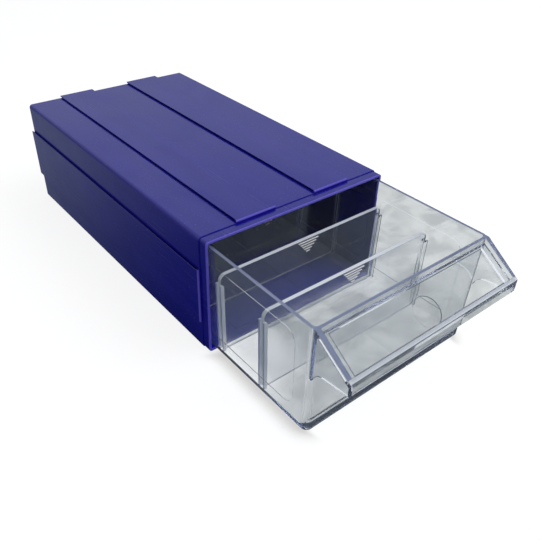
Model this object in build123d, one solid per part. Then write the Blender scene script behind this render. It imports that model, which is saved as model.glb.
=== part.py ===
from build123d import *
import math
import os

# Stackable drawer box: a moulded case, a clear drawer that slides out of its front, and three clear
# dividers that drop into ribs on the drawer's side walls.
#
# Millimetres, +Z up. The drawer opens towards -Y. Everything is first drawn with X = 0 on the case's
# middle plane, Y = 0 at the front edge of the case's body and Z = 0 on the surface it stands on, and is
# moved at the end so that the origin is the bottom centre of the whole object's box.

# ---- case ----
case_width = 140.0
case_height = 81.0
case_depth = 240.0
case_wall = 2.2
case_edge_radius = 2.5          # long outer edges
case_inner_radius = 0.8
case_back_round = 1.2           # outer edges of the back
body_front_round = 0.5          # the shoulder behind the collar
collar_length = 6.3
collar_inset = 0.6              # how far the collar stands in from the body's outside
collar_lip_round = 0.45

# ---- dovetail rails and grooves that lock stacked boxes together ----
rail_height = 1.5
rail_undercut = 1.2
rail_edge_round = 0.3
rail_end_bevel = 0.5            # bevel at the front of each rail
rail_stop_length = 1.8          # square block that closes each undercut at the front
top_rail_width = 28.5
top_rail_offset = 29.75         # from the middle plane to each rail's own middle
side_rail_width = 38.0
side_rail_middle = 40.5         # height of the side rail's middle
groove_side_clearance = 0.3
groove_depth_clearance = 0.2
groove_web = 0.9                # wall left between a groove and the inside

# ---- drawer ----
drawer_height = 74.2
drawer_length = 236.2           # outside of the front wall to outside of the back wall, at the rim
drawer_wall = 1.9
drawer_floor = 2.0
drawer_side_clearance = 0.6     # each side, between the rim and the case
drawer_under_clearance = 0.3    # between the drawer and the lands over the case's grooves
side_draft = 1.6                # how much narrower each side is at the floor than at the rim
end_draft = 1.8                 # the same for the front and the back
drawer_corner_radius = 4.0
drawer_foot_round = 1.2
floor_edge_round = 1.0
front_cove_radius = 8.0         # scoop between the floor and the front wall
panel_relief_depth = 0.5        # the walls are this much thinner below the step line
panel_relief_top = 62.6
panel_relief_start = 13.8
panel_relief_round = 8.0
floor_line_middle = 17.9        # a pair of fine lines under the floor, from the middle plane
floor_line_spacing = 1.8
floor_line_width = 0.5
floor_line_depth = 0.3
floor_line_end = 9.0            # where the lines stop, from each end of the drawer

# ---- hood with label plate, in front of the drawer ----
hood_reach = 24.0
hood_drop = 16.0
lip_height = 8.2
lip_wall = 1.9
lip_round = 0.6
cheek_inset = 0.3               # how far the cheeks start in from the drawer's sides
cheek_taper = 0.5               # how much further in each cheek stands at the lip
cheek_wall = 2.4                # at the lip
cheek_root_height = 40.7        # where the cheeks' lower edge meets the front wall
cheek_arch_radius = 7.5
ledge_depth = 2.5               # border round the label window, below the slanted plane
window_depth = 4.1              # floor of the label window, below the slanted plane
window_width = 119.4
window_rim_margin = 1.0         # width of the border along the rim
window_lip_margin = 1.7         # width of the border along the lip
plate_wall = 1.9
finger_hole_radius = 8.2
finger_hole_distance = 18.3     # down the slope from the rim
finger_hole_bevel = 0.7         # on the upper edge of the hole

# ---- divider slots and dividers ----
slot_count = 5
slot_pitch = 39.0
first_slot = 40.4               # from the outside of the front wall
divider_slots = {"divider_front": 0, "divider_middle": 1, "divider_rear": 2}
divider_thickness = 2.4
divider_height = 56.0
divider_end_clearance = 0.4     # to the side walls
divider_face_clearance = 0.2    # to the ribs, each face
divider_floor_clearance = 0.1
divider_top_radius = 4.0
divider_foot_radius = 3.0
divider_edge_round = 0.3
slot_rib_thickness = 1.2
slot_rib_reach = 1.8
slot_rib_height = 52.1          # above the drawer's underside
slot_rib_round = 1.5
grip_rib_count = 5
grip_rib_pitch = 1.85
grip_rib_thickness = 1.15       # where the rib meets the plate
grip_rib_edge = 0.3             # at the rib's front edge
grip_rib_proud = 0.9
grip_top_width = 16.2
grip_narrowing = 3.2            # each rib is this much shorter than the one above
grip_below_edge = 1.3

# ---- stops and the pose in which the box is drawn ----
closed_gap = 1.4                # drawer to the back of the case when closed
drawer_opening = 92.0           # how far the drawer stands open
stop_bead_drop = 1.2            # beads under the collar's ceiling
stop_bead_length = 3.0
stop_bead_width = 3.4
stop_bead_inset = 1.5           # behind the collar's front edge
stop_lug_height = 0.9           # lugs on the rim of the drawer's sides
stop_lug_length = 6.0
stop_lug_margin = 0.2           # to each face of the wall it stands on
stop_lug_from_back = 50.4

# ---- worked out from the sizes above ----
inside_half_width = case_width / 2 - case_wall
inside_depth = case_depth - case_wall
ceiling_height = case_height - case_wall
groove_depth = rail_height + groove_depth_clearance
land_height = groove_depth + groove_web
drawer_half_width = inside_half_width - drawer_side_clearance
drawer_rest_height = land_height + drawer_under_clearance
drawer_closed_front = inside_depth - closed_gap - drawer_length
drawer_front = drawer_closed_front - drawer_opening
hood_slope = math.atan2(hood_drop, hood_reach)
sunk = 0.5                      # overlap given to features that are fused to a wall


def prism_back(profile, front, back):
    """A profile drawn in X and Z, carried from y = front to y = back."""
    return extrude(Plane.XZ.offset(-back) * profile, amount=back - front, dir=(0, -1, 0))


def prism_across(profile, left, right):
    """A profile drawn in Y and Z, carried from x = left to x = right."""
    return extrude(Plane.YZ.offset(left) * profile, amount=right - left, dir=(1, 0, 0))


def shape(*points):
    return Polygon(*points, align=None)


# ---------------------------------------------------------------------------------------- case

def case_ring(inset, radius, front, back):
    """A block with the case's outline, drawn in by inset on all sides."""
    outline = RectangleRounded(case_width - 2 * inset, case_height - 2 * inset, radius)
    return prism_back(Pos(0, case_height / 2) * outline, front, back)


def dovetail(width):
    """A male rail standing on z = 0: square for the length of the stop, then undercut on both sides."""
    half = width / 2
    slope = rail_undercut / rail_height
    narrow = half - rail_undercut - slope * sunk
    undercut_profile = shape((-narrow, -sunk), (-half, rail_height), (half, rail_height), (narrow, -sunk))
    square_profile = shape((-half, -sunk), (-half, rail_height), (half, rail_height), (half, -sunk))
    undercut_top = undercut_profile.vertices().group_by(Axis.Y)[-1]
    square_top = square_profile.vertices().group_by(Axis.Y)[-1]
    bar = prism_back(fillet(undercut_top, rail_edge_round), rail_stop_length - sunk, case_depth)
    stop = prism_back(fillet(square_top, rail_edge_round), 0, rail_stop_length)
    bevel = shape((-sunk, rail_height - rail_end_bevel - sunk), (-sunk, rail_height + sunk),
                  (rail_end_bevel + sunk, rail_height + sunk))
    return bar + stop - prism_across(bevel, -width, width)


def groove_cutter(width):
    """The space for a male rail, cut upwards from z = 0. Its mouth is narrow behind the stop."""
    half = width / 2 + groove_side_clearance
    narrow = half - rail_undercut
    mouth_end = rail_stop_length + groove_side_clearance
    profile = shape((-narrow, -sunk), (-narrow, 0), (-half, groove_depth), (half, groove_depth),
                    (narrow, 0), (narrow, -sunk))
    square = shape((-half, -sunk), (-half, groove_depth), (half, groove_depth), (half, -sunk))
    return prism_back(profile, -1, case_depth + 1) + prism_back(square, -1, mouth_end)


def groove_backing(width):
    """The land inside the case that keeps the wall whole behind a groove."""
    half = width / 2 + groove_side_clearance + groove_web
    profile = shape((-half, 0), (-half + groove_web / 2, land_height), (half - groove_web / 2, land_height),
                    (half, 0))
    return prism_back(profile, 0, case_depth)


def stop_bead(side):
    """A small ramped bead under the collar's ceiling, at one side."""
    front = -collar_length + stop_bead_inset
    back = front + stop_bead_length
    low = ceiling_height - stop_bead_drop
    profile = shape((front, ceiling_height + sunk), (front + stop_bead_length / 2, low), (back, low),
                    (back, ceiling_height + sunk))
    outer = inside_half_width + sunk
    inner = inside_half_width - stop_bead_width
    if side < 0:
        return prism_across(profile, -outer, -inner)
    return prism_across(profile, inner, outer)


def make_case():
    body = case_ring(0, case_edge_radius, 0, case_depth)
    back_edges = body.faces().sort_by(Axis.Y)[-1].edges()
    body = fillet(back_edges, case_back_round)
    front_edges = body.faces().sort_by(Axis.Y)[0].edges()
    body = fillet(front_edges, body_front_round)
    collar = case_ring(collar_inset, case_edge_radius - collar_inset, -collar_length, sunk)
    inside = case_ring(case_wall, case_inner_radius, -collar_length - 1, inside_depth)
    shell = body + collar - inside
    lip_edges = shell.faces().sort_by(Axis.Y)[0].edges()
    shell = fillet(lip_edges, collar_lip_round)

    for side in (-1, 1):
        across = Pos(side * top_rail_offset, 0, 0)
        shell += across * Pos(0, 0, case_height) * dovetail(top_rail_width)
        shell += across * groove_backing(top_rail_width)
        shell -= across * groove_cutter(top_rail_width)
        shell += stop_bead(side)

    onto_left = Pos(-case_width / 2, 0, side_rail_middle) * Rot(0, -90, 0)
    onto_right = Pos(case_width / 2, 0, side_rail_middle) * Rot(0, -90, 0)
    shell += onto_left * dovetail(side_rail_width)
    shell += onto_right * groove_backing(side_rail_width)
    shell -= onto_right * groove_cutter(side_rail_width)
    return shell


# -------------------------------------------------------------------------------------- drawer
# The drawer is drawn with Y = 0 at the outside of its front wall's rim and Z = 0 at its underside.

def lean(z):
    """1 at the drawer's underside and 0 at its rim: the share of the draft that applies at height z."""
    return 1 - z / drawer_height


def half_width_at(z):
    return drawer_half_width - side_draft * lean(z)


def front_at(z):
    return end_draft * lean(z)


def tapered_block(low, high, side_inset, end_inset, radius):
    """A block with the drawer's drafted outside, drawn in from its sides and its ends."""
    sections = []
    for z in (low, high):
        half = half_width_at(z) - side_inset
        front = front_at(z) + end_inset
        back = drawer_length - front_at(z) - end_inset
        outline = RectangleRounded(2 * half, back - front, radius)
        sections.append(Pos(0, (front + back) / 2, z) * outline)
    return loft(sections, ruled=True)


def plane_height(y, depth):
    """Height, at y in front of the drawer, of the plane that lies depth below the hood's slanted plane."""
    return drawer_height + y * math.tan(hood_slope) - depth / math.cos(hood_slope)


hood_root = drawer_corner_radius + drawer_wall     # how far the uncut hood reaches behind the front wall


def hood_half_width(y, z):
    """Outside of the cheeks, from the middle plane."""
    return half_width_at(z) - cheek_inset - cheek_taper * (hood_root - y) / (hood_root + hood_reach)


def hood_block():
    """The hood before it is hollowed: slanted top, upright lip, and a lower edge that arches to the wall."""
    lip_top = (-hood_reach, drawer_height - hood_drop)
    lip_foot = (-hood_reach, drawer_height - hood_drop - lip_height)
    arch_top = (-cheek_arch_radius, cheek_root_height + cheek_arch_radius)
    arch_root = (front_at(cheek_root_height), cheek_root_height)
    diagonal = cheek_arch_radius * (1 - math.sqrt(0.5))
    arch_middle = (-diagonal, cheek_root_height + cheek_arch_radius - diagonal)
    outline = [
        Polyline(arch_root, (hood_root, cheek_root_height), (hood_root, drawer_height),
                 (0, drawer_height), lip_top, lip_foot, arch_top),
        ThreePointArc(arch_top, arch_middle, arch_root),
    ]
    profile = make_face(outline)
    nose = profile.vertices().group_by(Axis.X)[0]
    profile = fillet(nose, lip_round)
    block = prism_across(profile, -case_width, case_width)
    sections = []
    for z in (0, drawer_height):
        front = -hood_reach - 1
        back = hood_root + 1
        outline = shape((-hood_half_width(front, z), front), (-hood_half_width(back, z), back),
                        (hood_half_width(back, z), back), (hood_half_width(front, z), front))
        sections.append(Pos(0, 0, z) * outline)
    return block & loft(sections, ruled=True)


def layer(depth, back, front, above, half):
    """The space over a plane that lies depth below the hood's slanted plane, between two uprights."""
    profile = shape((back, above), (back, plane_height(back, depth)), (front, plane_height(front, depth)),
                    (front, above))
    return prism_across(profile, -half, half)


def hood_hollows():
    """The recess for the label, its sunken window, and the finger space under the plate."""
    lip_back = -hood_reach + lip_wall
    inner_half = hood_half_width(-hood_reach, drawer_height - hood_drop) - cheek_wall
    window_half = window_width / 2
    window_front = lip_back + window_lip_margin
    above = drawer_height + 1
    recess = layer(ledge_depth, 0, lip_back, above, inner_half)
    window = layer(window_depth, -window_rim_margin, window_front, above, window_half)
    under = layer(ledge_depth + plate_wall, hood_root + 1, lip_back, 0, inner_half)
    tray = layer(window_depth + plate_wall, hood_root + 1, lip_back, 0, inner_half)
    tray_walls = layer(0, hood_root + 1, window_front - plate_wall, above, window_half + plate_wall)
    return [recess + window, under - (tray_walls - tray)]


def finger_hole():
    y = -finger_hole_distance * math.cos(hood_slope)
    z = drawer_height - finger_hole_distance * math.sin(hood_slope)
    tilt = Pos(0, y, z) * Rot(math.degrees(hood_slope), 0, 0)
    bevel_height = 2 * finger_hole_bevel
    bevel = Cone(finger_hole_radius, finger_hole_radius + bevel_height, bevel_height)
    return tilt * (Cylinder(finger_hole_radius, 4 * window_depth) + Pos(0, 0, -window_depth) * bevel)


def front_cove():
    """The scoop between the floor and the front wall, concave towards the inside."""
    draft_angle = math.atan2(end_draft, drawer_height)
    middle_z = drawer_floor + front_cove_radius
    wall_y = front_at(middle_z) + drawer_wall
    middle_y = wall_y + front_cove_radius / math.cos(draft_angle)
    wall_touch = (middle_y - front_cove_radius * math.cos(draft_angle),
                  middle_z - front_cove_radius * math.sin(draft_angle))
    half_way = math.pi * 1.25 + draft_angle / 2
    arc_point = (middle_y + front_cove_radius * math.cos(half_way),
                 middle_z + front_cove_radius * math.sin(half_way))
    floor_touch = (middle_y, drawer_floor)
    outline = [
        Polyline(floor_touch, (middle_y, drawer_floor - sunk),
                 (front_at(0) + drawer_wall - sunk, drawer_floor - sunk),
                 (wall_touch[0] - sunk, wall_touch[1]), wall_touch),
        ThreePointArc(wall_touch, arc_point, floor_touch),
    ]
    half = half_width_at(drawer_floor) - drawer_wall + sunk
    return prism_across(make_face(outline), -half, half)


def slot_ribs():
    """Pairs of upright ribs on both side walls, each pair a slot for a divider."""
    top = slot_rib_height
    bottom = drawer_floor - sunk
    wall_bottom = half_width_at(bottom) - drawer_wall
    wall_top = half_width_at(top) - drawer_wall
    profile = shape((wall_bottom + sunk, bottom), (wall_bottom - slot_rib_reach, bottom),
                    (wall_top - slot_rib_reach, top), (wall_top + sunk, top))
    corner = profile.vertices().group_by(Axis.Y)[-1].sort_by(Axis.X)[0]
    profile = fillet(corner, slot_rib_round)
    gap = divider_thickness + 2 * divider_face_clearance
    ribs = []
    for slot in range(slot_count):
        middle = first_slot + slot * slot_pitch
        for front in (middle - gap / 2 - slot_rib_thickness, middle + gap / 2):
            rib = prism_back(profile, front, front + slot_rib_thickness)
            ribs.append(rib)
            ribs.append(mirror(rib, about=Plane.YZ))
    return ribs


def panel_relief():
    """A shallow relief of the side walls' inner faces, below the step line."""
    start = panel_relief_start
    end = drawer_length - panel_relief_start
    bottom = drawer_floor + panel_relief_round
    outline = Pos((start + end) / 2, (bottom + panel_relief_top) / 2) * RectangleRounded(
        end - start, panel_relief_top - bottom, panel_relief_round)
    band = prism_across(outline, -case_width, case_width)
    wide = tapered_block(drawer_floor, drawer_height, drawer_wall - panel_relief_depth,
                         drawer_wall + 1, floor_edge_round)
    return band & wide


def floor_lines():
    """Two fine V-shaped grooves along the drawer's underside."""
    grooves = []
    for across in (-floor_line_spacing / 2, floor_line_spacing / 2):
        middle = floor_line_middle + across
        profile = shape((middle - floor_line_width, -floor_line_depth), (middle, floor_line_depth),
                        (middle + floor_line_width, -floor_line_depth))
        grooves.append(prism_back(profile, floor_line_end, drawer_length - floor_line_end))
    return grooves


def stop_lug(side):
    """A low lug on the rim of one side wall, which meets the bead under the collar."""
    back = drawer_length - stop_lug_from_back
    front = back - stop_lug_length
    top = drawer_height + stop_lug_height
    profile = shape((front, drawer_height - sunk), (front, top), (back - 2 * stop_lug_height, top),
                    (back, drawer_height), (back, drawer_height - sunk))
    outer = drawer_half_width - stop_lug_margin
    inner = drawer_half_width - drawer_wall + stop_lug_margin
    if side < 0:
        return prism_across(profile, -outer, -inner)
    return prism_across(profile, inner, outer)


def make_drawer():
    tub = tapered_block(0, drawer_height, 0, 0, drawer_corner_radius)
    foot_edges = tub.faces().sort_by(Axis.Z)[0].edges()
    tub = fillet(foot_edges, drawer_foot_round)
    hood = hood_block()
    for hollow in hood_hollows():
        hood -= hollow
    cavity = tapered_block(drawer_floor, drawer_height + 1, drawer_wall, drawer_wall,
                           drawer_corner_radius - drawer_wall)
    floor_edges = cavity.faces().sort_by(Axis.Z)[0].edges()
    cavity = fillet(floor_edges, floor_edge_round)
    drawer = tub + hood - cavity - panel_relief()
    drawer += front_cove()
    for rib in slot_ribs():
        drawer += rib
    for side in (-1, 1):
        drawer += stop_lug(side)
    for groove in floor_lines():
        drawer -= groove
    return drawer - finger_hole()


# ------------------------------------------------------------------------------------ dividers

def divider_outline():
    """The plate seen from the front, in the drawer's X and Z: it follows the walls' draft."""
    bottom = drawer_floor + divider_floor_clearance
    top = bottom + divider_height
    inset = drawer_wall + divider_end_clearance
    low = half_width_at(bottom) - inset
    high = half_width_at(top) - inset
    outline = shape((-low, bottom), (-high, top), (high, top), (low, bottom))
    upper = outline.vertices().group_by(Axis.Y)[-1]
    outline = fillet(upper, divider_top_radius)
    lower = outline.vertices().group_by(Axis.Y)[0]
    return fillet(lower, divider_foot_radius)


def grip_ribs(front):
    """A short stack of finger ribs at the top of the plate's front face, each narrower than the last.
    Each has a level top and a sloping underside."""
    top = drawer_floor + divider_floor_clearance + divider_height - grip_below_edge
    ribs = []
    for row in range(grip_rib_count):
        half = (grip_top_width - row * grip_narrowing) / 2
        height = top - row * grip_rib_pitch
        wedge = shape((front + sunk, height), (front - grip_rib_proud, height),
                      (front - grip_rib_proud, height - grip_rib_edge), (front, height - grip_rib_thickness),
                      (front + sunk, height - grip_rib_thickness))
        ribs.append(prism_across(wedge, -half, half))
    return ribs


def make_divider(slot):
    middle = first_slot + slot * slot_pitch
    front = middle - divider_thickness / 2
    plate = prism_back(divider_outline(), front, front + divider_thickness)
    faces = plate.faces().sort_by(Axis.Y)
    plate = fillet(faces[0].edges() + faces[-1].edges(), divider_edge_round)
    for rib in grip_ribs(front):
        plate += rib
    return plate


# ---------------------------------------------------------------------------------- assembly

into_case = Pos(0, drawer_front, drawer_rest_height)
front_end = drawer_front - hood_reach
to_origin = Pos(rail_height / 2, -(front_end + case_depth) / 2, 0)

nodes = {"case": to_origin * make_case(), "drawer": to_origin * into_case * make_drawer()}
for name, slot in divider_slots.items():
    nodes[name] = to_origin * into_case * make_divider(slot)

os.makedirs("parts", exist_ok=True)
for name, solid in nodes.items():
    export_step(solid, f"parts/{name}.step")
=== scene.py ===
import math

import bmesh
import bpy
import numpy as np
from mathutils import Matrix, Vector


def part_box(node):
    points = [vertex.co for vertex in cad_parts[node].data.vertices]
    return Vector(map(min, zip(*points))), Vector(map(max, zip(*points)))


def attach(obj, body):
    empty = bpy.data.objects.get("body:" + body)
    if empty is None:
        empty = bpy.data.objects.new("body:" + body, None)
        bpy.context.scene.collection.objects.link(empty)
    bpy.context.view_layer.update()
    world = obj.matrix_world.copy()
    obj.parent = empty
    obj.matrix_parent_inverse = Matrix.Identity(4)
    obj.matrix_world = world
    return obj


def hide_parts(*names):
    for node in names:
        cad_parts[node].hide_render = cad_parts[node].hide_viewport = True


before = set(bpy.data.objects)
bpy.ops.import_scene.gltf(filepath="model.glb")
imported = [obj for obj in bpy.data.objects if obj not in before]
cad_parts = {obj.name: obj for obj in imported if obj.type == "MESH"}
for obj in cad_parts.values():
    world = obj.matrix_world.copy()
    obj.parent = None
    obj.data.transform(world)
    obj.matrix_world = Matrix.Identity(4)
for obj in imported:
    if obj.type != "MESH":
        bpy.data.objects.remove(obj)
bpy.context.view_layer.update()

bl_info = {
    "name": "Stackable drawer box",
    "version": (1, 0, 0),
    "blender": (4, 5, 0),
    "location": "3D View > Sidebar > Drawer box",
    "description": "Finishes for a moulded drawer box with a clear drawer and dividers, and its studio",
    "category": "Object",
}

MM = 0.001
BLACK = (0.0, 0.0, 0.0, 1.0)
WHITE = (1.0, 1.0, 1.0, 1.0)
POLYSTYRENE = 1.57            # refractive index of the clear plastic
FACING = 0.9                  # a face looks along a direction when their cosine is above this
SOFT = 0.2 * MM               # half the width of the soft edge of a mask on the case
MERGE = 2e-6                  # corners of a CAD mesh that lie nearer than this are one

# The case: the collar's length in front of the body and its rails, and planes that lie within the walls,
# measured in from each side of the case's box.
COLLAR_LENGTH = 6.3 * MM
CASE_WALLS = {"left": 2.9 * MM, "right": 2.2 * MM, "back": 1.1 * MM, "top": 2.9 * MM,
              "bottom_from": 1.8 * MM, "bottom_to": 2.1 * MM}

# The dividers: a plate's thickness, and how far the finger ribs stand out of its front.
PLATE_THICKNESS = 2.4 * MM
GRIP_PROUD = 0.9 * MM

# The hood in front of the drawer: its rims lie in a plane that slopes down and forwards from the drawer's
# rim, reach forwards and drop down. The finger hole's place is measured down that slope, and its wall ends
# wall_depth below the plane.
DRAWER_LOW, DRAWER_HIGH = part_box("drawer")
HOOD = {"reach": 24.0 * MM, "drop": 16.0 * MM, "wall_depth": 7.0 * MM, "lip_depth": 1.6 * MM,
        "hole_distance": 18.3 * MM, "hole_radius": 8.2 * MM, "hole_bevel": 1.6 * MM}
STOP_HEIGHT = 0.9 * MM        # how far the drawer's stops stand above its rim
RIM_MIDDLE = (DRAWER_LOW[0] + DRAWER_HIGH[0]) / 2
RIM_FRONT = DRAWER_LOW[1] + HOOD["reach"]
RIM_HEIGHT = DRAWER_HIGH[2] - STOP_HEIGHT

# The pairs of ribs that hold the dividers. First is the middle of the front slot, pitch the way to the next,
# near and far are distances from a slot's middle, inner and outer from the drawer's, bottom and top heights.
FRONT_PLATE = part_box("divider_front")
NEXT_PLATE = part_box("divider_middle")
SLOTS = {"count": 5, "first": FRONT_PLATE[1][1] - PLATE_THICKNESS / 2,
         "pitch": NEXT_PLATE[1][1] - FRONT_PLATE[1][1], "near": 1.3 * MM, "far": 2.9 * MM,
         "inner": 60.0 * MM, "outer": 65.6 * MM, "bottom": 5.2 * MM, "top": 55.5 * MM}


# ------------------------------------------------------------------------------- properties

class CaseLook(bpy.types.PropertyGroup):
    """Colour and surface of the opaque case."""
    colour: bpy.props.FloatVectorProperty(
        name="Plastic", description="Colour of the moulded case", subtype="COLOR", size=3,
        min=0.0, max=1.0, default=(0.006, 0.005, 0.235))
    faded: bpy.props.FloatVectorProperty(
        name="Streaks", description="Colour of the paler flow streaks", subtype="COLOR", size=3,
        min=0.0, max=1.0, default=(0.010, 0.008, 0.260))
    # painted light: a brighter violet painted on the thin front edges as a glow of light shining through the
    # plastic
    thin: bpy.props.FloatVectorProperty(
        name="Thin edges", description="Colour of the thin front edges, where light shines through",
        subtype="COLOR", size=3, min=0.0, max=1.0, default=(0.12, 0.10, 0.62))
    # painted light: a brighter blue on the inner faces, a lit copy of the plastic's colour
    inside: bpy.props.FloatVectorProperty(
        name="Inside", description="Colour of the inner faces, where light shines through the walls",
        subtype="COLOR", size=3, min=0.0, max=1.0, default=(0.004, 0.010, 0.42))
    roughness: bpy.props.FloatProperty(
        name="Roughness", description="How dull the moulded surface is", subtype="FACTOR",
        min=0.0, max=1.0, default=0.17)
    edge_round: bpy.props.FloatProperty(
        name="Edge round", description="Rounding of the sharp edges", subtype="DISTANCE",
        unit="LENGTH", min=0.0, max=0.001, default=0.00022)


class ClearLook(bpy.types.PropertyGroup):
    """Colour and surface of the clear drawer and dividers."""
    tint: bpy.props.FloatVectorProperty(
        name="Tint", description="Colour that light takes on at each face of the clear plastic",
        subtype="COLOR", size=3, min=0.0, max=1.0, default=(0.975, 0.985, 0.99))
    depth_tint: bpy.props.FloatVectorProperty(
        name="Depth tint", description="Colour that light takes on along the clear plastic's edges",
        subtype="COLOR", size=3, min=0.0, max=1.0, default=(0.56, 0.65, 0.95))
    depth_density: bpy.props.FloatProperty(
        name="Depth density", description="How fast the depth tint builds up, per metre",
        min=0.0, max=100.0, default=11.0)
    # painted light and shade: a blue-grey on the drawer's rims, standing in for the light along the walls
    # seen end on
    rim: bpy.props.FloatVectorProperty(
        name="Rim", description="Colour of the drawer's rims, where its walls are seen end on",
        subtype="COLOR", size=3, min=0.0, max=1.0, default=(0.20, 0.24, 0.42))
    # painted light: a pale colour on the dividers' rims, the drawer's slot ribs and the hood's lip, as light
    # that leaves the clear plastic there
    plate_rim: bpy.props.FloatVectorProperty(
        name="Divider rim", description="Colour of the dividers' rims and of the ribs that hold them",
        subtype="COLOR", size=3, min=0.0, max=1.0, default=(0.86, 0.91, 1.0))
    # painted highlight: a near-white colour on the rounded edges and the finger ribs' upper faces
    rubbed: bpy.props.FloatVectorProperty(
        name="Rubbed", description="Colour of the rounded edges and of the finger ribs' upper faces",
        subtype="COLOR", size=3, min=0.0, max=1.0, default=(0.96, 0.97, 1.0))
    # painted shade on the finger ribs' other faces and inside the finger hole
    shade: bpy.props.FloatVectorProperty(
        name="Shade", description="Colour of the finger ribs' other faces and of the finger hole's inside",
        subtype="COLOR", size=3, min=0.0, max=1.0, default=(0.10, 0.12, 0.20))
    shadow: bpy.props.FloatVectorProperty(
        name="Shadow", description="Light that the clear plastic lets through to what lies behind it",
        subtype="COLOR", size=3, min=0.0, max=1.0, default=(0.965, 0.972, 0.98))
    roughness: bpy.props.FloatProperty(
        name="Roughness", description="How dull the clear surface is", subtype="FACTOR",
        min=0.0, max=1.0, default=0.015)
    edge_round: bpy.props.FloatProperty(
        name="Edge round", description="Rounding of the sharp edges", subtype="DISTANCE",
        unit="LENGTH", min=0.0, max=0.001, default=0.0003)


class StudioLook(bpy.types.PropertyGroup):
    """Floor, lamp and surroundings."""
    floor_size: bpy.props.FloatProperty(
        name="Floor", description="Width of the pale floor", subtype="DISTANCE", unit="LENGTH",
        min=1.0, max=20.0, default=8.0)
    floor_colour: bpy.props.FloatVectorProperty(
        name="Floor colour", description="Colour of the floor under the lamp", subtype="COLOR",
        size=3, min=0.0, max=1.0, default=(0.64, 0.66, 0.68))
    key_power: bpy.props.FloatProperty(
        name="Key lamp", description="Power of the large soft lamp above the right", subtype="POWER",
        unit="POWER", min=0.0, max=500.0, default=11.0)
    ambient: bpy.props.FloatProperty(
        name="Ambient", description="Strength of the light from all around", min=0.0, max=2.0,
        default=0.44)


# ---------------------------------------------------------------------------- node helpers

def new_material(name):
    """An empty node material with its output node."""
    material = bpy.data.materials.new(name)
    material.use_nodes = True
    tree = material.node_tree
    tree.nodes.clear()
    output = tree.nodes.new("ShaderNodeOutputMaterial")
    return material, tree, output


def join(tree, value, socket):
    """Links a socket to an input, or writes a number or colour into it."""
    if isinstance(value, bpy.types.NodeSocket):
        tree.links.new(value, socket)
    else:
        socket.default_value = value


def maths(tree, operation, first, second=None, third=None, clamp=False):
    """A Math node on sockets or numbers, and its result socket."""
    made = tree.nodes.new("ShaderNodeMath")
    made.operation = operation
    made.use_clamp = clamp
    for socket, value in zip(made.inputs, (first, second, third)):
        if value is not None:
            join(tree, value, socket)
    return made.outputs[0]


def spread(tree, value, low, high, to_low=0.0, to_high=1.0):
    """A smooth step from to_low, where the value is low, to to_high, where it is high."""
    made = tree.nodes.new("ShaderNodeMapRange")
    made.interpolation_type = "SMOOTHSTEP"
    for name, number in (("From Min", low), ("From Max", high), ("To Min", to_low), ("To Max", to_high)):
        made.inputs[name].default_value = number
    join(tree, value, made.inputs["Value"])
    return made.outputs[0]


def between(tree, value, edges):
    """1 where the value lies between the two inner edges, falling softly to 0 at the two outer ones."""
    outer_low, inner_low, inner_high, outer_high = edges
    return maths(tree, "MULTIPLY", spread(tree, value, inner_high, outer_high, 1.0, 0.0),
                 spread(tree, value, outer_low, inner_low))


def blend_colour(tree, factor, first, second):
    """The first colour where the factor is 0 and the second where it is 1, as a result socket."""
    made = tree.nodes.new("ShaderNodeMix")
    made.data_type = "RGBA"
    join(tree, factor, made.inputs["Factor"])
    join(tree, first, made.inputs["A"])
    join(tree, second, made.inputs["B"])
    return [socket for socket in made.outputs if socket.type == "RGBA"][0]


def noise(tree, vector, scale, detail=2.0, roughness=0.5, distortion=0.0):
    """A noise pattern's value on a vector, with its size in cells a metre."""
    made = tree.nodes.new("ShaderNodeTexNoise")
    tree.links.new(vector, made.inputs["Vector"])
    join(tree, scale, made.inputs["Scale"])
    made.inputs["Detail"].default_value = detail
    made.inputs["Roughness"].default_value = roughness
    made.inputs["Distortion"].default_value = distortion
    return made.outputs["Fac"]


def stretched(tree, vector, scale, turn=0.0):
    """A vector turned about Z and then scaled differently along each axis."""
    made = tree.nodes.new("ShaderNodeMapping")
    tree.links.new(vector, made.inputs["Vector"])
    made.inputs["Scale"].default_value = scale
    made.inputs["Rotation"].default_value = (0.0, 0.0, turn)
    return made.outputs[0]


def group_tree(name, inputs, outputs):
    """An empty shader node group with named inputs and outputs."""
    tree = bpy.data.node_groups.new(name, "ShaderNodeTree")
    for label, kind, default in inputs:
        socket = tree.interface.new_socket(name=label, in_out="INPUT", socket_type=kind)
        if default is not None:
            socket.default_value = default
    for label, kind in outputs:
        tree.interface.new_socket(name=label, in_out="OUTPUT", socket_type=kind)
    start = tree.nodes.new("NodeGroupInput")
    end = tree.nodes.new("NodeGroupOutput")
    return tree, start, end


def place_group(tree, group, **values):
    """Puts a node group in a material with its own values, each named as its input is, in small letters."""
    made = tree.nodes.new("ShaderNodeGroup")
    made.node_tree = group
    for label, value in values.items():
        join(tree, value, made.inputs[label.replace("_", " ").capitalize()])
    return made


# ------------------------------------------------------------------------------ node groups

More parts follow.
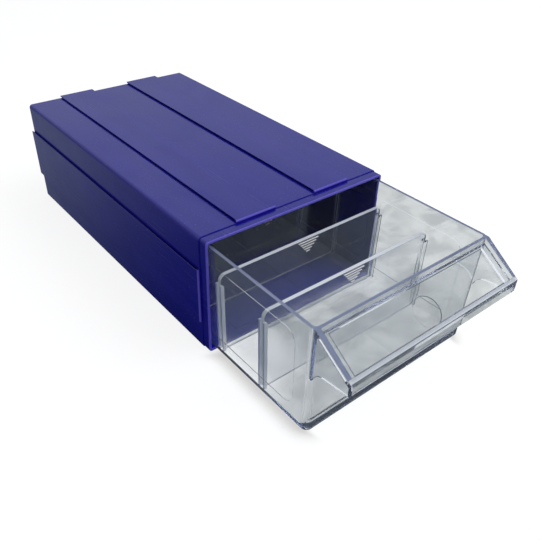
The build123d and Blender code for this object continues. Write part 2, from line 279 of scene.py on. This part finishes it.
def moulded_skin():
    """Height and dullness of a moulded face. The height is the sum of long slow waves, drawn-out flow lines
    and a fine grain, all of them noise of different size. Streak is 1 on the flow lines' crests."""
    group, start, end = group_tree(
        "moulded_skin",
        [("Vector", "NodeSocketVector", None), ("Waves", "NodeSocketFloat", 1.0),
         ("Flow", "NodeSocketFloat", 1.0), ("Grain", "NodeSocketFloat", 1.0)],
        [("Height", "NodeSocketFloat"), ("Streak", "NodeSocketFloat"), ("Haze", "NodeSocketFloat")])
    vector = start.outputs["Vector"]
    cells = {"wave": 42.0, "flow": 75.0, "grain": 2600.0, "haze": 28.0}
    flow_height = 0.18
    grain_height = 0.012
    wave = noise(group, vector, cells["wave"], detail=1.0)
    drawn = stretched(group, vector, (1.0, 0.16, 1.0), 0.5)
    flow = noise(group, drawn, cells["flow"], detail=3.0, distortion=0.6)
    grain = noise(group, vector, cells["grain"], detail=1.0)
    height = maths(group, "MULTIPLY", wave, start.outputs["Waves"])
    share = maths(group, "MULTIPLY", start.outputs["Flow"], flow_height)
    height = maths(group, "MULTIPLY_ADD", flow, share, height)
    share = maths(group, "MULTIPLY", start.outputs["Grain"], grain_height)
    height = maths(group, "MULTIPLY_ADD", grain, share, height)
    clouds = stretched(group, vector, (1.0, 0.5, 1.0), 0.9)
    haze = noise(group, clouds, cells["haze"], detail=4.0, distortion=0.8)
    group.links.new(height, end.inputs["Height"])
    group.links.new(spread(group, flow, 0.42, 0.68), end.inputs["Streak"])
    group.links.new(spread(group, haze, 0.35, 0.70), end.inputs["Haze"])
    return group


def handling_marks():
    """Masks of the fine scratches and the dust that handling leaves on a glossy face. Scratches are the
    crests of noise that is stretched in three directions, kept in patches. Dust is the crests of fine
    noise."""
    group, start, end = group_tree(
        "handling_marks",
        [("Vector", "NodeSocketVector", None), ("Scratches", "NodeSocketFloat", 1.0),
         ("Dust", "NodeSocketFloat", 1.0)],
        [("Scratch", "NodeSocketFloat"), ("Speck", "NodeSocketFloat")])
    vector = start.outputs["Vector"]
    patch_cells = 24.0
    dust_cells = 1500.0
    lines = None
    for turn, cells, stretch in ((0.35, 900.0, 0.016), (-0.9, 1100.0, 0.02), (1.3, 800.0, 0.013)):
        one = noise(group, stretched(group, vector, (1.0, stretch, 1.0), turn), cells, detail=0.0)
        one = spread(group, one, 0.765, 0.80)
        lines = one if lines is None else maths(group, "MAXIMUM", lines, one)
    patches = spread(group, noise(group, vector, patch_cells, detail=2.0), 0.48, 0.66)
    scratch = maths(group, "MULTIPLY", maths(group, "MULTIPLY", lines, patches), start.outputs["Scratches"])
    speck = spread(group, noise(group, vector, dust_cells, detail=0.0), 0.775, 0.82)
    speck = maths(group, "MULTIPLY", speck, start.outputs["Dust"])
    group.links.new(scratch, end.inputs["Scratch"])
    group.links.new(speck, end.inputs["Speck"])
    return group


def shared_group(build):
    """The node group that a function builds, made the first time and found by its name after that."""
    return bpy.data.node_groups.get(build.__name__) or build()


def object_place(tree):
    """The piece's own coordinates."""
    return tree.nodes.new("ShaderNodeTexCoord").outputs["Object"]


def bumped(tree, height, distance):
    """A normal from a height, over a distance in metres."""
    bump = tree.nodes.new("ShaderNodeBump")
    bump.inputs["Strength"].default_value = 1.0
    bump.inputs["Distance"].default_value = distance
    tree.links.new(height, bump.inputs["Height"])
    return bump.outputs["Normal"]


# -------------------------------------------------------------------------------- materials

def clear_material(name, look, shift):
    """Clear polished plastic: its walls take a faint tint at each face and a blue one along their depth,
    and lamps shine through it. Shift moves the pattern, so that no two pieces are marked alike."""
    material, tree, output = new_material(name)
    place = tree.nodes.new("ShaderNodeMapping")
    tree.links.new(object_place(tree), place.inputs["Vector"])
    place.inputs["Location"].default_value = shift
    vector = place.outputs[0]
    skin = place_group(tree, shared_group(moulded_skin), vector=vector, waves=1.0, flow=0.5, grain=0.0)
    marks = place_group(tree, shared_group(handling_marks), vector=vector, scratches=1.0, dust=0.6)
    hazy = 0.95
    scratch_dullness = 0.25
    dust_dullness = 0.4
    skin_depth = 0.12 * MM
    shader = tree.nodes.new("ShaderNodeBsdfPrincipled")
    clouded = tuple(part * hazy for part in look.tint)
    tree.links.new(blend_colour(tree, skin.outputs["Haze"], (*look.tint, 1.0), (*clouded, 1.0)),
                   shader.inputs["Base Color"])
    shader.inputs["Metallic"].default_value = 0.0
    shader.inputs["IOR"].default_value = POLYSTYRENE
    shader.inputs["Specular IOR Level"].default_value = 0.25
    shader.inputs["Transmission Weight"].default_value = 0.99
    worn = maths(tree, "MULTIPLY_ADD", marks.outputs["Scratch"], scratch_dullness, look.roughness)
    worn = maths(tree, "MULTIPLY_ADD", marks.outputs["Speck"], dust_dullness, worn)
    tree.links.new(worn, shader.inputs["Roughness"])
    tree.links.new(bumped(tree, skin.outputs["Height"], skin_depth), shader.inputs["Normal"])
    lamps_pass(tree, shader, look.shadow, output)
    deep = tree.nodes.new("ShaderNodeVolumeAbsorption")
    deep.inputs["Color"].default_value = (*look.depth_tint, 1.0)
    deep.inputs["Density"].default_value = look.depth_density
    tree.links.new(deep.outputs[0], output.inputs["Volume"])
    return material


def rim_material(name, colour, clear, shadow, lip=None):
    """Clear plastic with a painted colour, as on rims, rounded edges and finger ribs: it stands in for the
    light that runs inside the walls and leaves here, pale as painted light and highlight, dark as painted
    shade. Clear is the share of light that passes, and lip the colour painted as a highlight in front of the
    hood's label window."""
    material, tree, output = new_material(name)
    marks = place_group(tree, shared_group(handling_marks), vector=object_place(tree), scratches=1.0,
                        dust=0.5)
    scratch_shade = 0.85
    dullness = 0.30
    dust_dullness = 0.2
    shader = tree.nodes.new("ShaderNodeBsdfPrincipled")
    dull = tuple(part * scratch_shade for part in colour)
    worn = blend_colour(tree, marks.outputs["Scratch"], (*colour, 1.0), (*dull, 1.0))
    if lip:
        split = tree.nodes.new("ShaderNodeSeparateXYZ")
        tree.links.new(object_place(tree), split.inputs[0])
        # painted highlight: the hood's rim faces in front of the label window take the paler lip colour
        lip_back = DRAWER_LOW[1] + HOOD["lip_depth"]
        at_lip = spread(tree, split.outputs["Y"], lip_back, lip_back + 2 * SOFT, 1.0, 0.0)
        worn = blend_colour(tree, at_lip, worn, (*lip, 1.0))
    tree.links.new(worn, shader.inputs["Base Color"])
    shader.inputs["IOR"].default_value = POLYSTYRENE
    rough = maths(tree, "MULTIPLY_ADD", marks.outputs["Speck"], dust_dullness, dullness)
    tree.links.new(rough, shader.inputs["Roughness"])
    shader.inputs["Transmission Weight"].default_value = clear
    lamps_pass(tree, shader, shadow, output)
    return material


def lamps_pass(tree, shader, shadow, output):
    """Lets lamps shine through a clear surface, tinted by the shadow colour."""
    passing = tree.nodes.new("ShaderNodeBsdfTransparent")
    passing.inputs["Color"].default_value = (*shadow, 1.0)
    path = tree.nodes.new("ShaderNodeLightPath")
    either = tree.nodes.new("ShaderNodeMixShader")
    tree.links.new(path.outputs["Is Shadow Ray"], either.inputs["Fac"])
    tree.links.new(shader.outputs[0], either.inputs[1])
    tree.links.new(passing.outputs[0], either.inputs[2])
    tree.links.new(either.outputs[0], output.inputs["Surface"])


def thin_edges(tree, vector):
    """Mask of the collar's front edge and of the rails' front ends, where a brighter violet glow is painted
    as light shining through the thin plastic. Each fades out backwards, and the rails' share keeps to the top
    and the left of the case's box, where they stand out."""
    lowest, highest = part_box("case")
    split = tree.nodes.new("ShaderNodeSeparateXYZ")
    tree.links.new(vector, split.inputs[0])
    across, along, up = split.outputs
    front = lowest[1]
    rail_front = front + COLLAR_LENGTH
    rail_depth = 1.3 * MM
    rail_edge = 0.9 * MM
    collar = spread(tree, along, front + 0.25 * MM, front + 1.0 * MM, 1.0, 0.0)
    end = spread(tree, along, rail_front + 0.3 * MM, rail_front + 1.1 * MM, 1.0, 0.0)
    end = maths(tree, "MULTIPLY", end, spread(tree, along, rail_front - 0.6 * MM, rail_front - 0.3 * MM))
    on_top = spread(tree, up, highest[2] - rail_depth, highest[2] - rail_edge)
    on_side = spread(tree, across, lowest[0] + rail_edge, lowest[0] + rail_depth, 1.0, 0.0)
    end = maths(tree, "MULTIPLY", end, maths(tree, "MAXIMUM", on_top, on_side))
    return maths(tree, "MAXIMUM", collar, end)


def inner_faces(tree, vector):
    """Mask of the faces inside the case, where a brighter blue is painted as light shining through the walls:
    what lies within the planes that run through its walls.
    """
    lowest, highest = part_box("case")
    split = tree.nodes.new("ShaderNodeSeparateXYZ")
    tree.links.new(vector, split.inputs[0])
    across, along, up = split.outputs
    left = lowest[0] + CASE_WALLS["left"]
    mask = spread(tree, across, left - SOFT, left + SOFT)
    for value, wall in ((across, highest[0] - CASE_WALLS["right"]), (along, highest[1] - CASE_WALLS["back"]),
                        (up, highest[2] - CASE_WALLS["top"])):
        mask = maths(tree, "MULTIPLY", mask, spread(tree, value, wall - SOFT, wall + SOFT, 1.0, 0.0))
    above = spread(tree, up, CASE_WALLS["bottom_from"], CASE_WALLS["bottom_to"])
    return maths(tree, "MULTIPLY", mask, above)


def case_material(look):
    """Glossy blue-violet plastic with paler flow streaks, slow waves, hazy patches and fine scratches."""
    material, tree, output = new_material("blue_violet_plastic")
    vector = object_place(tree)
    skin = place_group(tree, shared_group(moulded_skin), vector=vector, waves=1.0, flow=1.0, grain=1.0)
    marks = place_group(tree, shared_group(handling_marks), vector=vector, scratches=1.0, dust=1.0)
    scratch_colour = (0.16, 0.16, 0.30, 1.0)
    scratch_strength = 0.14
    scratch_dullness = 0.15
    dust_colour = (0.30, 0.30, 0.36, 1.0)
    dust_strength = 0.20
    dust_dullness = 0.30
    haze_dullness = 0.10
    skin_depth = 0.25 * MM
    colour = blend_colour(tree, skin.outputs["Streak"], (*look.colour, 1.0), (*look.faded, 1.0))
    # painted light: the faces inside the case are painted a brighter blue, as if lit through the walls
    colour = blend_colour(tree, inner_faces(tree, vector), colour, (*look.inside, 1.0))
    # painted light: a brighter violet glow painted on the collar's front edge and the rails' front ends
    colour = blend_colour(tree, thin_edges(tree, vector), colour, (*look.thin, 1.0))
    scratched = maths(tree, "MULTIPLY", marks.outputs["Scratch"], scratch_strength)
    colour = blend_colour(tree, scratched, colour, scratch_colour)
    dusty = maths(tree, "MULTIPLY", marks.outputs["Speck"], dust_strength)
    colour = blend_colour(tree, dusty, colour, dust_colour)
    dull = maths(tree, "MULTIPLY_ADD", skin.outputs["Haze"], haze_dullness, look.roughness)
    dull = maths(tree, "MULTIPLY_ADD", marks.outputs["Scratch"], scratch_dullness, dull)
    dull = maths(tree, "MULTIPLY_ADD", marks.outputs["Speck"], dust_dullness, dull)
    shader = tree.nodes.new("ShaderNodeBsdfPrincipled")
    shader.inputs["IOR"].default_value = 1.5
    shader.inputs["Specular IOR Level"].default_value = 0.4
    tree.links.new(colour, shader.inputs["Base Color"])
    tree.links.new(dull, shader.inputs["Roughness"])
    tree.links.new(bumped(tree, skin.outputs["Height"], skin_depth), shader.inputs["Normal"])
    tree.links.new(shader.outputs[0], output.inputs["Surface"])
    return material


# ----------------------------------------------------------------------------------- pieces

def divider_kinds(place, normal):
    """Kind of each face of a divider, from its centre and its normal: 0 the clear plate, 1 the upper faces of
    the finger ribs, which get a painted highlight, 2 the plate's rim, which gets pale painted light, 3 the
    other faces of the ribs, which get painted shade. A face belongs to the ribs if it lies in front of the
    plate's own front."""
    plate_front = place[:, 1].min() + GRIP_PROUD
    upward = 0.3
    kinds = np.where(np.abs(normal[:, 1]) < FACING, 2, 0)
    ribs = place[:, 1] < plate_front - 0.1 * MM
    kinds[ribs] = 3
    kinds[ribs & (normal[:, 2] > upward)] = 1
    return kinds


def drawer_kinds(place, normal):
    """Kind of each face of the drawer, from its centre and its normal: 0 clear, 2 the left ribs of the
    divider slots, which get pale painted light, 3 the rims of the walls and of the hood, which get painted
    light and shade, 4 the inside of the finger hole, which gets painted shade. Kind 1 is left for the rounded
    edges, which get a painted highlight. A face is on the hood's rims if its distance from their sloping
    plane is small and it faces as the plane does, and inside the hole if it lies at the hole's radius from
    the hole's axis and faces neither along it nor against it."""
    across = place[:, 0] - RIM_MIDDLE
    behind = place[:, 1] - RIM_FRONT
    above = place[:, 2] - RIM_HEIGHT
    slope = math.atan2(HOOD["drop"], HOOD["reach"])
    up = np.array((0.0, -math.sin(slope), math.cos(slope)))
    off_plane = behind * up[1] + above * up[2]
    down_slope = -behind * up[2] + above * up[1]
    facing = normal @ up
    kinds = np.zeros(len(place), dtype=np.int32)
    kinds[(normal[:, 2] > FACING) & (above > -0.2 * MM)] = 3
    kinds[(facing > FACING) & (np.abs(off_plane) < 0.3 * MM) & (behind < 0.0)] = 3
    from_axis = np.hypot(across, down_slope - HOOD["hole_distance"]) - HOOD["hole_radius"]
    hole = (from_axis > -0.1 * MM) & (from_axis < HOOD["hole_bevel"])
    kinds[hole & (np.abs(facing) < FACING) & (off_plane > -HOOD["wall_depth"])] = 4
    beside = (-across > SLOTS["inner"]) & (-across < SLOTS["outer"])
    beside &= (place[:, 2] > SLOTS["bottom"]) & (place[:, 2] < SLOTS["top"])
    for index in range(SLOTS["count"]):
        away = np.abs(place[:, 1] - SLOTS["first"] - index * SLOTS["pitch"])
        kinds[beside & (away > SLOTS["near"]) & (away < SLOTS["far"])] = 2
    return kinds


def sort_faces(mesh, kinds):
    """Gives each face of a mesh the material number that kinds works out from the centres and normals."""
    centres = np.empty(3 * len(mesh.polygons), dtype=np.float32)
    mesh.polygons.foreach_get("center", centres)
    normals = np.empty(3 * len(mesh.polygons), dtype=np.float32)
    mesh.polygons.foreach_get("normal", normals)
    numbers = kinds(centres.reshape(-1, 3), normals.reshape(-1, 3))
    mesh.polygons.foreach_set("material_index", numbers.astype(np.int32))


def rounded_copy(name, node, body, materials, edge_round, kinds=None, edge_material=-1):
    """A merged copy of a CAD node with its sharp edges rounded, shown in the node's place. Kinds gives each
    face its number in the list of materials, and edge_material is the number for the rounded edges, or -1
    for that of the faces beside them."""
    flat = math.radians(0.4)
    sharp = math.radians(35.0)
    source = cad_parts[node]
    mesh = bpy.data.meshes.new(name)
    work = bmesh.new()
    work.from_mesh(source.data)
    bmesh.ops.remove_doubles(work, verts=work.verts, dist=MERGE)
    bmesh.ops.dissolve_degenerate(work, dist=MERGE, edges=work.edges)
    bmesh.ops.dissolve_limit(work, angle_limit=flat, verts=work.verts, edges=work.edges)
    for face in work.faces:
        face.smooth = True
    work.to_mesh(mesh)
    work.free()
    for material in materials:
        mesh.materials.append(material)
    if kinds:
        sort_faces(mesh, kinds)
    piece = bpy.data.objects.new(name, mesh)
    bpy.context.scene.collection.objects.link(piece)
    bevel = piece.modifiers.new("edge_round", "BEVEL")
    bevel.width = edge_round
    bevel.segments = 2
    bevel.limit_method = "ANGLE"
    bevel.angle_limit = sharp
    bevel.use_clamp_overlap = True
    bevel.material = edge_material
    weighted = piece.modifiers.new("flat_faces", "WEIGHTED_NORMAL")
    weighted.mode = "FACE_AREA"
    weighted.weight = 90
    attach(piece, body)
    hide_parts(node)


# -------------------------------------------------------------------------------- operators

class CaseFinish(bpy.types.Operator):
    """Gives the case its blue-violet plastic and rounds its sharp edges"""
    bl_idname = "drawer_box.case_finish"
    bl_label = "Case"

    def execute(self, context):
        look = context.scene.drawer_box_case
        rounded_copy("case_shell", "case", "case", [case_material(look)], look.edge_round)
        return {"FINISHED"}


class ClearFinish(bpy.types.Operator):
    """Gives the drawer and the dividers their clear plastic and rounds their sharp edges"""
    bl_idname = "drawer_box.clear_finish"
    bl_label = "Drawer and dividers"

    def execute(self, context):
        look = context.scene.drawer_box_clear
        drawer = clear_material("clear_drawer_plastic", look, (0.0, 0.0, 0.0))
        # painted light and shade on the clear plastic: a painted highlight on the drawer's rounded edges and
        # the finger ribs' upper faces, pale painted light on the dividers' rims, the slot ribs and the lip,
        # blue-grey painted light and shade on the drawer's rims, and painted shade on the finger ribs' other
        # faces and inside the finger hole
        rubbed = rim_material("highlight_clear_plastic", look.rubbed, 0.25, look.shadow)
        plate_rim = rim_material("clear_divider_glow", look.plate_rim, 0.3, look.shadow)
        rim = rim_material("clear_drawer_rim", look.rim, 0.5, look.shadow, look.plate_rim)
        shade = rim_material("clear_rib_shade", look.shade, 0.6, look.shadow)
        rounded_copy("drawer_tub", "drawer", "drawer",
                     [drawer, rubbed, plate_rim, rim, shade], look.edge_round, drawer_kinds, 1)
        for index, place in enumerate(("front", "middle", "rear")):
            shift = (0.21 * (index + 1), 0.4, 0.1)
            plate = clear_material(f"clear_divider_plastic_{place}", look, shift)
            rounded_copy(f"divider_plate_{place}", f"divider_{place}", f"divider_{place}",
                         [plate, rubbed, plate_rim, shade], look.edge_round, divider_kinds)
        return {"FINISHED"}


# The camera's place in metres, the way it looks, its turn about that way, and its lens in millimetres.
CAMERA_PLACE = (-0.21798, -0.30033, 0.26249)
CAMERA_FORWARD = (0.52164341, 0.61971575, -0.58637918)
CAMERA_ROLL = math.radians(1.944)
CAMERA_LENS = 40.726

KEY_PLACE = (0.60, -0.55, 1.25)
KEY_WIDTH = 1.0

# What the floor shows to each kind of ray. Diffuse light comes on top of these glows.
FLOOR_LEVEL = -0.02 * MM               # a hair below the case, so that the two faces don't meet
FLOOR_WHITE = (0.85, 0.85, 0.85, 1.0)
FLOOR_CONTACT = (0.50, 0.49, 0.47, 1.0)
MIRRORED_NEAR = (0.02, 0.03, 0.03, 1.0)
MIRRORED_FAR = (0.30, 0.34, 0.33, 1.0)
# painted light: the mottled glow of the floor seen through the clear plastic
MOTTLE_DARK = (0.41, 0.43, 0.43, 1.0)
MOTTLE_PALE = (0.62, 0.64, 0.63, 1.0)
THROUGH_MIRRORED = (0.03, 0.06, 0.09, 1.0)
LIT_TO_CAMERA = 0.35                   # shares of the lamp's light that the floor gives back
LIT_THROUGH = 0.28

# Places on the floor, in metres: where its mirrored light changes from near to far, the pool of light under
# the drawer, the bands under the drawer's left and front edges, and the corner that has a contact shadow.
MIRRORED_RANGE = (-0.05, 0.30)
POOL_PLACE = (-0.056, -0.086, 0.0)
POOL_FADE = (0.018, 0.045)
LEFT_BAND = (-0.080, -0.074, -0.062, -0.056)
FRONT_BAND = (-0.168, -0.162, -0.150, -0.143)
SHADOW_BACK = (-0.075, -0.065)
SHADOW_INNER = (0.058, 0.064)
SHADOW_REACH = 11.0 * MM


class Studio(bpy.types.Operator):
    """Makes the pale floor, the soft lamp, the white surroundings and the camera"""
    bl_idname = "drawer_box.studio"
    bl_label = "Studio"

    def execute(self, context):
        look = context.scene.drawer_box_studio
        self.floor(context, look)
        self.world(context, look)
        self.lamp(context, look)
        self.camera(context)
        context.scene.view_settings.view_transform = "Standard"
        # Clear plastic needs many turns of light inside its edges before it leaves them.
        context.scene.cycles.max_bounces = 128
        context.scene.cycles.transmission_bounces = 64
        context.scene.cycles.glossy_bounces = 128
        context.scene.cycles.transparent_max_bounces = 40
        return {"FINISHED"}

    def floor(self, context, look):
        """The floor is white to the camera apart from a faint shadow, and pale grey to everything else. Its
        diffuse light and its glow are added."""
        half = look.floor_size / 2
        corners = [(-half, -half), (half, -half), (half, half), (-half, half)]
        mesh = bpy.data.meshes.new("floor")
        mesh.from_pydata([(*corner, FLOOR_LEVEL) for corner in corners], [], [(0, 1, 2, 3)])
        piece = bpy.data.objects.new("floor", mesh)
        context.scene.collection.objects.link(piece)
        material, tree, output = new_material("pale_floor")
        path = tree.nodes.new("ShaderNodeLightPath")
        place = object_place(tree)
        split = tree.nodes.new("ShaderNodeSeparateXYZ")
        tree.links.new(place, split.inputs[0])
        lit = tree.nodes.new("ShaderNodeBsdfDiffuse")
        tree.links.new(self.floor_colour(tree, path, look), lit.inputs["Color"])
        glow = tree.nodes.new("ShaderNodeEmission")
        glow.inputs["Strength"].default_value = 1.0
        far = spread(tree, split.outputs["Y"], *MIRRORED_RANGE)
        mirrored = blend_colour(tree, far, MIRRORED_NEAR, MIRRORED_FAR)
        # Light that runs through clear plastic also counts as glossy, so transmission is asked after it.
        shown = blend_colour(tree, path.outputs["Is Glossy Ray"], BLACK, mirrored)
        shown = blend_colour(tree, path.outputs["Is Transmission Ray"], shown,
                             self.glow_through(tree, path, place, split))
        shown = blend_colour(tree, path.outputs["Is Camera Ray"], shown, self.contact_shadow(tree, split))
        tree.links.new(shown, glow.inputs["Color"])
        both = tree.nodes.new("ShaderNodeAddShader")
        tree.links.new(lit.outputs[0], both.inputs[0])
        tree.links.new(glow.outputs[0], both.inputs[1])
        tree.links.new(both.outputs[0], output.inputs["Surface"])
        mesh.materials.append(material)

    def floor_colour(self, tree, path, look):
        """The share of the lamp's light that the floor gives back: none to mirrors, some to the camera and
        through clear plastic, and its own colour to the rest."""
        seen = tuple(LIT_TO_CAMERA * part for part in look.floor_colour)
        through = tuple(LIT_THROUGH * part for part in look.floor_colour)
        colour = blend_colour(tree, path.outputs["Is Glossy Ray"], (*look.floor_colour, 1.0), BLACK)
        colour = blend_colour(tree, path.outputs["Is Transmission Ray"], colour, (*through, 1.0))
        return blend_colour(tree, path.outputs["Is Camera Ray"], colour, (*seen, 1.0))

    def glow_through(self, tree, path, place, split):
        """The floor through clear plastic: painted light in a mottled glow with a white pool, and painted
        shade, dark to light that a wall has mirrored, except in narrow bands under the drawer's left and
        front edges."""
        mottle = noise(tree, place, 34.0, detail=3.0, distortion=1.0)
        glow = blend_colour(tree, spread(tree, mottle, 0.36, 0.66), MOTTLE_DARK, MOTTLE_PALE)
        away = tree.nodes.new("ShaderNodeVectorMath")
        away.operation = "DISTANCE"
        tree.links.new(place, away.inputs[0])
        away.inputs[1].default_value = POOL_PLACE
        pool = spread(tree, away.outputs["Value"], *POOL_FADE, 1.0, 0.0)
        glow = blend_colour(tree, pool, glow, WHITE)
        band = maths(tree, "MAXIMUM", between(tree, split.outputs["X"], LEFT_BAND),
                     between(tree, split.outputs["Y"], FRONT_BAND))
        once = maths(tree, "MINIMUM", path.outputs["Glossy Depth"], 1.0)
        once = maths(tree, "MULTIPLY", once, maths(tree, "SUBTRACT", 1.0, band))
        return blend_colour(tree, once, glow, THROUGH_MIRRORED)

    def contact_shadow(self, tree, split):
        """The floor to the camera: white, and darker in the corner where the drawer's front part and its
        sides come close to it."""
        corner = tree.nodes.new("ShaderNodeAmbientOcclusion")
        corner.samples = 8
        corner.inputs["Distance"].default_value = SHADOW_REACH
        sideways = maths(tree, "ABSOLUTE", split.outputs["X"])
        beside = maths(tree, "MAXIMUM", spread(tree, split.outputs["Y"], *SHADOW_BACK),
                       spread(tree, sideways, *SHADOW_INNER, 1.0, 0.0))
        bare = maths(tree, "MAXIMUM", spread(tree, corner.outputs["AO"], 0.45, 1.0), beside)
        return blend_colour(tree, bare, FLOOR_CONTACT, FLOOR_WHITE)

    def world(self, context, look):
        """White to the camera, a soft pale room in reflections, and even light on everything else. The room
        is brighter towards the top and the back, with faint clouds."""
        world = bpy.data.worlds.new("white_studio")
        context.scene.world = world
        world.use_nodes = True
        tree = world.node_tree
        tree.nodes.clear()
        output = tree.nodes.new("ShaderNodeOutputWorld")
        background = tree.nodes.new("ShaderNodeBackground")
        path = tree.nodes.new("ShaderNodeLightPath")
        toward = tree.nodes.new("ShaderNodeTexCoord").outputs["Generated"]
        split = tree.nodes.new("ShaderNodeSeparateXYZ")
        tree.links.new(toward, split.inputs[0])
        room_white = (0.95, 1.0, 1.0, 1.0)
        room_through = (0.92, 0.95, 1.0, 1.0)
        even = (look.ambient, look.ambient, look.ambient, 1.0)
        height = spread(tree, split.outputs["Z"], 0.0, 0.75, to_low=0.34, to_high=1.0)
        behind = spread(tree, split.outputs["Y"], -0.6, 0.5, to_low=0.55, to_high=1.0)
        room = maths(tree, "MULTIPLY", height, behind)
        cloud = noise(tree, toward, 1.6, detail=1.0)
        cloud = spread(tree, cloud, 0.35, 0.65, to_low=0.8, to_high=1.08)
        room = blend_colour(tree, maths(tree, "MULTIPLY", room, cloud), BLACK, room_white)
        room = blend_colour(tree, path.outputs["Is Transmission Ray"], room, room_through)
        straight = maths(tree, "SUBTRACT", 1.0, maths(tree, "MINIMUM", path.outputs["Diffuse Depth"], 1.0))
        other = blend_colour(tree, straight, even, room)
        seen = blend_colour(tree, path.outputs["Is Camera Ray"], other, WHITE)
        tree.links.new(seen, background.inputs["Color"])
        tree.links.new(background.outputs[0], output.inputs["Surface"])

    def lamp(self, context, look):
        """One large soft lamp above the right, turned to the middle of the floor and hidden from
        reflections."""
        data = bpy.data.lights.new("key_lamp", "AREA")
        data.shape = "SQUARE"
        data.size = KEY_WIDTH
        data.energy = look.key_power
        lamp = bpy.data.objects.new("key_lamp", data)
        place = Vector(KEY_PLACE)
        turn = (-place).to_track_quat("-Z", "Y").to_matrix().to_4x4()
        lamp.matrix_world = Matrix.Translation(place) @ turn
        lamp.visible_glossy = False
        lamp.visible_transmission = False
        context.scene.collection.objects.link(lamp)

    def camera(self, context):
        """The camera, level but for its roll: right and up are turned by the roll about the way it looks."""
        data = bpy.data.cameras.new("camera")
        data.sensor_width = 36.0
        data.sensor_fit = "HORIZONTAL"
        data.lens = CAMERA_LENS
        data.clip_start = 0.01
        data.clip_end = 50.0
        camera = bpy.data.objects.new("camera", data)
        forward = Vector(CAMERA_FORWARD).normalized()
        level = forward.cross(Vector((0, 0, 1))).normalized()
        upright = level.cross(forward)
        right = level * math.cos(CAMERA_ROLL) + upright * math.sin(CAMERA_ROLL)
        up = upright * math.cos(CAMERA_ROLL) - level * math.sin(CAMERA_ROLL)
        turn = Matrix((right, up, -forward)).transposed().to_4x4()
        camera.matrix_world = Matrix.Translation(CAMERA_PLACE) @ turn
        context.scene.collection.objects.link(camera)
        context.scene.camera = camera


class DrawerBoxPanel(bpy.types.Panel):
    """Lists the operators and their settings"""
    bl_idname = "VIEW3D_PT_drawer_box"
    bl_label = "Drawer box"
    bl_space_type = "VIEW_3D"
    bl_region_type = "UI"
    bl_category = "Drawer box"

    def draw(self, context):
        for step in STEPS:
            self.layout.operator(step.bl_idname)
        for group in SETTINGS:
            look = getattr(context.scene, group)
            for name in look.__annotations__:
                self.layout.prop(look, name)


STEPS = (Studio, CaseFinish, ClearFinish)
SETTINGS = {"drawer_box_case": CaseLook, "drawer_box_clear": ClearLook, "drawer_box_studio": StudioLook}


def register():
    """Registers the settings, the operators and the panel."""
    for group, look in SETTINGS.items():
        bpy.utils.register_class(look)
        setattr(bpy.types.Scene, group, bpy.props.PointerProperty(type=look))
    for step in STEPS:
        bpy.utils.register_class(step)
    bpy.utils.register_class(DrawerBoxPanel)


def unregister():
    """Takes back what register did."""
    bpy.utils.unregister_class(DrawerBoxPanel)
    for step in reversed(STEPS):
        bpy.utils.unregister_class(step)
    for group, look in SETTINGS.items():
        delattr(bpy.types.Scene, group)
        bpy.utils.unregister_class(look)


def main():
    """Runs each operator in order."""
    register()
    for step in STEPS:
        group, name = step.bl_idname.split(".")
        if getattr(getattr(bpy.ops, group), name)() != {"FINISHED"}:
            raise RuntimeError(step.bl_label + " didn't finish")


if __name__ == "__main__":
    main()
